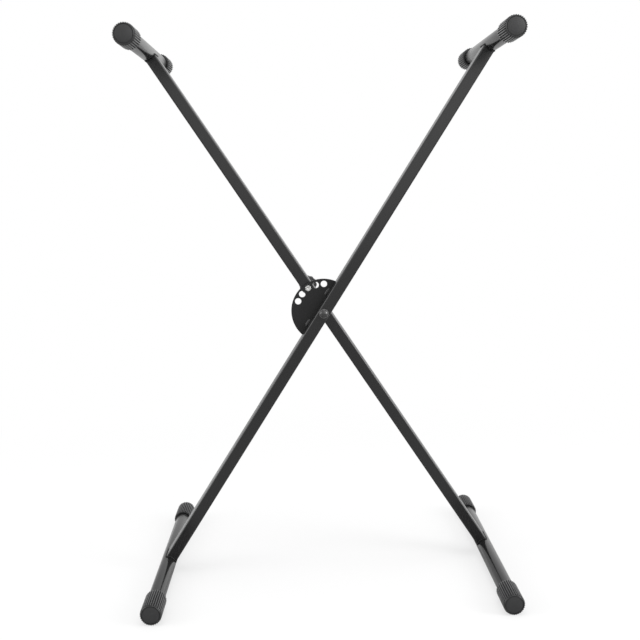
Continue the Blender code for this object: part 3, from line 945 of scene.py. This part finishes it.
def makeWashers():
    for side in ("front", "rear"):
        node = "pivot_washer_" + side
        low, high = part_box(node)
        profile = tubeProfile(radiusOf(node), washerShape["bore"], low.y, high.y)
        turnedPiece("pivotWasher" + side.capitalize(), node, "front_leg", profile, "black_bolt", pivotPlace,
                    soft=washerShape["edge"], finish=washerFinish)


def makeBolt():
    low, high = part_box("pivot_bolt")
    tip = high.y
    headBack = low.y + boltShape["headHeight"]
    side = boltShape["headHeight"] * boltShape["headSide"]
    dome = boltShape["headHeight"] - side
    head = boltShape["headRadius"]
    shank = boltShape["shank"]
    core = shank - threadShape["depth"]
    profile = [(0.0, low.y)]
    for step in range(1, boltShape["domeSteps"] + 1):
        angle = math.pi / 2 * step / boltShape["domeSteps"]
        profile.append((head * math.sin(angle), headBack - side - dome * math.cos(angle)))
    profile += [(head, headBack - boltShape["headEdge"]), (head - boltShape["headEdge"], headBack)]
    profile += [(shank, headBack), (shank, tip - boltShape["shankEnd"])]
    profile += [(core, tip - boltShape["shankEnd"] + boltShape["shankStep"])]
    profile += [(core, tip - boltShape["tipEdge"]), (core - boltShape["tipEdge"], tip), (0.0, tip)]
    turnedPiece("pivotBolt", "pivot_bolt", "front_leg", profile, "black_bolt", pivotPlace, False, 0.0)


def makeThread():
    low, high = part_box("pivot_bolt")
    radius = boltShape["shank"] - threadShape["depth"] - threadShape["sink"]
    turns = threadShape["length"] / threadShape["pitch"]
    points = []
    for step in range(int(turns * threadShape["steps"]) + 1):
        turn = step / threadShape["steps"]
        y = high.y - threadShape["fromTip"] - turn * threadShape["pitch"]
        points.append(circlePoint(radius, math.tau * turn, y))
    values = {**plainWire, "Radius": threadShape["depth"], "Sides": threadShape["sides"]}
    keep(bead("boltThread", points, "black_bolt", values), "front_leg", "black_bolt", pivotPlace)


nutShape = {
    "width": 0.013,  # across the flats
    "bore": 0.0042,
    "boreEdge": (0.0004, 0.0006),
    "face": 0.95,  # radius of the bearing face, as a share of half the width
    "cornerCut": 0.0012,  # height over which the hexagon's corners are turned off
    "hexHeight": 0.62,  # share of the nut's height
    "lip": (0.0056, 0.0054),  # radii of the edge that is rolled over the nylon ring
    "ringTop": 0.93,  # share of the nut's height
    "steps": 8,  # across each flat
    "sharp": 24.0,
}
# The collar from the hexagon to the top: (share of half the width, share of the nut's height).
nutCollar = [(0.96, 0.72), (0.88, 0.74), (0.87, 0.95), (0.82, 1.0)]
insertShape = {"outer": 0.0053, "inner": 0.00405, "front": 0.935, "inset": 0.0002, "edge": 0.0001,
               "sides": 48}


def makeNut():
    low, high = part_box("pivot_lock_nut")
    height = high.y - low.y
    flat = nutShape["width"] / 2
    bore = nutShape["bore"]
    ringTop = height * nutShape["ringTop"]
    stations = [(bore, nutShape["boreEdge"][1]), (bore + nutShape["boreEdge"][0], 0.0)]
    corner = flat / math.cos(math.pi / 6)
    stations += [(flat * nutShape["face"], 0.0), (corner, nutShape["cornerCut"])]
    stations += [(corner, height * nutShape["hexHeight"])]
    stations += [(flat * wide, height * up) for wide, up in nutCollar]
    stations += [(nutShape["lip"][0], height), (nutShape["lip"][1], ringTop), (bore, ringTop)]
    stations = [(radius, low.y + y, True) for radius, y in stations]
    wedge = sixthMesh("nutWedge", stations, flat, nutShape["steps"], closed=True)
    nut = copyAround("pivotLockNut", wedge, 6, "zinc", nutShape["sharp"])
    keep(nut, "front_leg", "zinc", pivotPlace, ["pivot_lock_nut"])


def makeInsert():
    # The nylon ring that grips the thread.
    low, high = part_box("pivot_lock_nut")
    front = low.y + (high.y - low.y) * insertShape["front"]
    profile = tubeProfile(insertShape["outer"], insertShape["inner"], front, high.y - insertShape["inset"])
    shape = turnedShape("nutInsert", profile, insertShape["sides"], soft=insertShape["edge"])
    keep(addObject("nutInsert", shape), "front_leg", "nylon", pivotPlace)


makeWashers()
makeBolt()
makeThread()
makeNut()
makeInsert()
print("pivot: done")


# Lock pin, barrel, plug, spring, knob and screw

pinShape = {
    "radius": 0.00515,
    "nose": 0.0006,
    "dimple": 0.0011,
    "dimpleRadius": 0.0019,
    "stem": 0.0025,
    "bodyLength": 0.024,
    "screwBore": 0.0015,
    "screwHole": 0.0093,  # depth of the hole for the knob's screw
    "edge": 0.00015,
    "running": 0.0002,  # between the pin and the barrel
}
barrelShape = {
    "wall": 0.0016,
    "plugBore": 0.0028,
    "plugEdge": 0.0005,
    "weldRadius": 0.0011,
    "weldSteps": 60,
    "weldSeed": 9.0,
}


def makeBarrel():
    low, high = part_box("pin_barrel")
    bore = pinShape["radius"] + pinShape["running"]
    outer = bore + barrelShape["wall"]
    profile = tubeProfile(outer, bore, low.y, high.y)
    turnedPiece("pinBarrel", "pin_barrel", "rear_leg", profile, "black_paint", pinPlace)
    plugLow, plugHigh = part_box("barrel_plug")
    flange = high.y + seat
    inner = barrelShape["plugBore"]
    edge = barrelShape["plugEdge"]
    profile = [(inner, plugLow.y), (bore - seat, plugLow.y), (bore - seat, flange), (outer, flange)]
    profile += [(outer, plugHigh.y - edge), (outer - edge, plugHigh.y), (inner, plugHigh.y)]
    turnedPiece("barrelPlug", "barrel_plug", "rear_leg", profile, "zinc", pinPlace)
    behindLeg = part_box("rear_leg_bar")[1].y + seat
    steps = barrelShape["weldSteps"]
    points = [circlePoint(outer + seat, math.tau * step / steps, behindLeg) for step in range(steps)]
    values = {**fusedBead, "Radius": barrelShape["weldRadius"], "Seed": barrelShape["weldSeed"]}
    weld = bead("barrelWeld", points, "black_paint", values, True)
    keep(weld, "rear_leg", "black_paint", pinPlace)


def makePin():
    low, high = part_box("lock_pin")
    tip = low.y
    radius = pinShape["radius"]
    nose = pinShape["nose"]
    stem = pinShape["stem"]
    shoulder = tip + pinShape["bodyLength"]
    hole = pinShape["screwBore"]
    holeEnd = high.y - pinShape["screwHole"]
    profile = [(0.0, tip + pinShape["dimple"]), (pinShape["dimpleRadius"], tip), (radius - nose, tip)]
    profile += [(radius, tip + nose), (radius, shoulder), (stem, shoulder), (stem, high.y)]
    profile += [(hole, high.y), (hole, holeEnd), (0.0, holeEnd)]
    turnedPiece("lockPin", "lock_pin", "lock_pin", profile, "zinc", pinPlace, False, pinShape["edge"])


# The spring. Its wire is given by its radius, and its steps are those of one turn.
springShape = {"wire": 0.0006, "turns": 7, "radius": 0.00393, "steps": 32, "sides": 12}


def makeSpring():
    low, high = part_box("lock_spring")
    wire = springShape["wire"]
    front = low.y + wire
    length = high.y - wire - front
    steps = springShape["turns"] * springShape["steps"]
    points = []
    for step in range(steps + 1):
        angle = math.tau * step / springShape["steps"]
        points.append(circlePoint(springShape["radius"], angle, front + length * step / steps))
    values = {**plainWire, "Radius": wire, "Sides": springShape["sides"]}
    spring = bead("lockSpring", points, "spring_steel", values)
    keep(spring, None, "spring_steel", pinPlace, ["lock_spring"])
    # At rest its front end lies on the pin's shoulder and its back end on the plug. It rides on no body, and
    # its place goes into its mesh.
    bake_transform(spring)


knobShape = {
    "flutes": 12,
    "fluteDepth": 0.0009,
    "fluteReach": 0.6,  # half width of a flute, as a share of half the pitch
    "fluteSteps": 12,
    "neck": 0.010,
    "neckLength": 0.005,
    "bore": 0.0028,
    "pocket": 0.00335,
    "pocketDepth": 0.005,
    "sharp": 30.0,
}
# Outline of the knob: (radius named, outwards from it, face named, backwards from it).
knobOutline = [
    ("bore", 0.0, "front", 0.0003), ("bore", 0.0003, "front", 0.0),
    ("neck", -0.0006, "front", 0.0), ("neck", 0.0, "front", 0.0006),
    ("neck", 0.0, "grip", -0.0012), ("neck", 0.0011, "grip", -0.0002),
    ("rim", -0.0021, "grip", 0.0), ("rim", -0.0007, "grip", 0.0006), ("rim", 0.0, "grip", 0.0021),
    ("rim", 0.0, "back", -0.0024), ("rim", -0.0006, "back", -0.0009), ("rim", -0.0022, "back", 0.0),
    ("axis", 0.0088, "back", 0.0), ("axis", 0.0084, "back", -0.0006),
    ("axis", 0.0052, "back", -0.0006), ("axis", 0.0048, "back", 0.0),
    ("pocket", 0.0003, "back", 0.0), ("pocket", 0.0, "back", -0.0003),
    ("pocket", 0.0, "floor", 0.0), ("bore", 0.0, "floor", 0.0),
]


def makeKnob():
    low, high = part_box("pull_knob")
    radius = radiusOf("pull_knob")
    radii = {**knobShape, "rim": radius, "axis": 0.0}
    faces = {"front": low.y, "grip": low.y + knobShape["neckLength"], "back": high.y,
             "floor": high.y - knobShape["pocketDepth"]}
    half = math.pi / knobShape["flutes"]
    columns = []
    for step in range(knobShape["fluteSteps"] + 1):
        side = 2 * step / knobShape["fluteSteps"] - 1
        scoop = max(0.0, 1 - (1 - abs(side)) ** 2 / knobShape["fluteReach"] ** 2)
        columns.append((side, radius - knobShape["fluteDepth"] * scoop))
    mesh = bmesh.new()
    rows = []
    for base, out, face, away in knobOutline:
        reach = radii[base] + out
        y = faces[face] + away
        rows.append([mesh.verts.new(circlePoint(min(reach, top), side * half, y)) for side, top in columns])
    wedge = wedgeMesh("knobWedge", mesh, rows, closed=True)
    knob = copyAround("pullKnob", wedge, knobShape["flutes"], "black_plastic", knobShape["sharp"])
    keep(knob, "lock_pin", "black_plastic", pinPlace, ["pull_knob"])


screwShape = {
    "shank": 0.0012,
    "tip": 0.0003,  # chamfer of the tip
    "head": 0.00275,
    "headHeight": 0.0022,
    "underEdge": 0.0001,
    "headEdge": 0.0004,
    "socket": 0.00125,  # half the width across the flats
    "socketMouth": 1.25,  # radius of the round mouth, as a share of that
    "mouthDepth": 0.0002,
    "socketDepth": 0.0012,
    "coneDepth": 0.0014,
    "steps": 6,  # across each flat
    "sharp": 30.0,
}


def makeScrew():
    low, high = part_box("knob_screw")
    back = high.y
    shank = screwShape["shank"]
    tip = screwShape["tip"]
    head = screwShape["head"]
    under = screwShape["underEdge"]
    edge = screwShape["headEdge"]
    socket = screwShape["socket"]
    headFront = back - screwShape["headHeight"]
    plain = [(0.0, low.y), (shank - tip, low.y), (shank, low.y + tip), (shank, headFront)]
    plain += [(head - under, headFront), (head, headFront + under), (head, back - edge), (head - edge, back)]
    plain += [(socket * screwShape["socketMouth"], back)]
    stations = [(radius, y, False) for radius, y in plain]
    stations += [(head, back - screwShape[depth], True) for depth in ("mouthDepth", "socketDepth")]
    stations += [(0.0, back - screwShape["coneDepth"], False)]
    wedge = sixthMesh("screwWedge", stations, socket, screwShape["steps"])
    screw = copyAround("knobScrew", wedge, 6, "black_bolt", screwShape["sharp"])
    keep(screw, "lock_pin", "black_bolt", pinPlace, ["knob_screw"])


makeBarrel()
makePin()
makeSpring()
makeKnob()
makeScrew()
print("lock pin and knob: done")


# The nodes that stay as they are get their finish.

for node, slot in (("front_pivot_sleeve", "zinc"), ("rear_pivot_sleeve", "zinc"), ("pivot_spacer", "nylon")):
    data = frame["nodes"][node].data
    data.materials.clear()
    data.materials.append(finishes[slot])


# Camera, floor and light

cameraPlace = {
    "place": (-0.03445, -1.7153, 0.6555),
    "pitch": 0.13674,  # down, in radians
    "yaw": 0.0166,  # towards +X
    "roll": -0.0218,
    "lens": 58.18,
    "sensor": 36.0,
}
stageLook = {
    "floorSize": 16.0,
    "floorShade": 0.86,
    "floorLift": 0.66,  # share of plain white that the camera sees in the floor
    "floorGlossDim": 0.22,  # share that reflections take off the floor's shade
    "shadowReach": (0.55, 1.3),  # metres from the stand over which the floor turns plain white
    "worldLight": 0.82,
    "studioLow": 0.56,  # what reflections show away from the panels below
}
# Bright sides of the studio, seen only in reflections: direction, reach as cosines, and strength.
studioPanels = [
    ((0.96, 0.0, 0.28), (-0.5, 1.1), 0.85),  # right
    ((-1.0, 0.0, 0.1), (0.45, 0.95), 1.3),  # left
    ((0.0, -0.98, 0.2), (-0.3, 0.9), 0.48),  # front
    ((0.5, -0.82, 0.28), (0.6, 1.0), 0.42),  # front right
    ((0.87, -0.38, 0.33), (0.83, 0.97), 4.0),  # softbox
]
# Lamps: place, the point that they face, diameter and watts.
lamps = {
    "keyLamp": ((2.3, -1.0, 1.3), (0.0, 0.0, 0.45), 1.3, 24.0),
    "fillLamp": ((-2.3, -0.5, 1.0), (0.0, 0.0, 0.45), 1.6, 18.0),
    "topLamp": ((0.2, -0.2, 3.2), (0.0, 0.0, 0.3), 2.4, 24.0),
}


def makeCamera():
    data = bpy.data.cameras.new("camera")
    data.lens = cameraPlace["lens"]
    data.sensor_width = cameraPlace["sensor"]
    camera = addObject("camera", data)
    yaw = Matrix.Rotation(-cameraPlace["yaw"], 4, "Z")
    pitch = Matrix.Rotation(math.pi / 2 - cameraPlace["pitch"], 4, "X")
    roll = Matrix.Rotation(cameraPlace["roll"], 4, "Z")
    camera.matrix_world = Matrix.Translation(cameraPlace["place"]) @ (yaw @ pitch @ roll)
    bpy.context.scene.camera = camera


def lightPath(graph, ray):
    return graph.node("ShaderNodeLightPath", None, None, ray)


def seenShare(graph):
    # 1 where the camera, a mirror-like surface or glass sees the surface.
    direct = graph.maths("MAXIMUM", lightPath(graph, "Is Camera Ray"), lightPath(graph, "Is Glossy Ray"))
    return graph.maths("MAXIMUM", direct, lightPath(graph, "Is Transmission Ray"))


def makeFloor():
    size = stageLook["floorSize"] / 2
    data = bpy.data.meshes.new("floor")
    corners = [(-size, -size, 0.0), (size, -size, 0.0), (size, size, 0.0), (-size, size, 0.0)]
    data.from_pydata(corners, [], [(0, 1, 2, 3)])
    floor = addObject("floor", data)
    material = bpy.data.materials.new("paleFloor")
    material.use_nodes = True
    tree = material.node_tree
    tree.nodes.remove(tree.nodes["Principled BSDF"])
    graph = Graph(tree)
    shade = stageLook["floorShade"] * (1.0 - lightPath(graph, "Is Glossy Ray") * stageLook["floorGlossDim"])
    matte = graph.node("ShaderNodeBsdfDiffuse", None, {"Color": shade})
    plain = graph.node("ShaderNodeEmission", None, {"Color": grey(1.0), "Strength": 1.0})
    place = graph.node("ShaderNodeTexCoord", None, None, "Object")
    reach = graph.node("ShaderNodeVectorMath", {"operation": "LENGTH"}, {0: place}, "Value")
    far = reach.between(*stageLook["shadowReach"])
    lift = stageLook["floorLift"] + far * (1.0 - stageLook["floorLift"])
    share = lightPath(graph, "Is Camera Ray") * lift
    mixed = graph.node("ShaderNodeMixShader", None, {0: share, 1: matte, 2: plain})
    tree.links.new(mixed.socket, tree.nodes["Material Output"].inputs["Surface"])
    data.materials.append(material)


def makeWorld():
    world = bpy.data.worlds.new("world")
    world.use_nodes = True
    bpy.context.scene.world = world
    tree = world.node_tree
    graph = Graph(tree)
    direction = graph.node("ShaderNodeTexCoord", None, None, "Generated")
    studio = stageLook["studioLow"]
    for side, reach, gain in studioPanels:
        sockets = {0: direction, 1: side}
        lean = graph.node("ShaderNodeVectorMath", {"operation": "DOT_PRODUCT"}, sockets, "Value")
        studio = studio + lean.between(*reach) * gain
    light = stageLook["worldLight"]
    strength = light + seenShare(graph) * (1.0 - light) + lightPath(graph, "Is Glossy Ray") * (studio - 1.0)
    background = tree.nodes["Background"]
    background.inputs["Color"].default_value = grey(1.0)
    tree.links.new(strength.socket, background.inputs["Strength"])


def makeLamp(name, place, target, size, power):
    data = bpy.data.lights.new(name, "AREA")
    data.shape = "DISK"
    data.size = size
    data.energy = power
    lamp = addObject(name, data)
    lamp.location = place
    lamp.rotation_euler = (Vector(target) - Vector(place)).to_track_quat("-Z", "Y").to_euler()


makeCamera()
makeFloor()
makeWorld()
for name, values in lamps.items():
    makeLamp(name, *values)
bpy.context.scene.view_settings.view_transform = "Standard"
print("camera, floor and light: done")
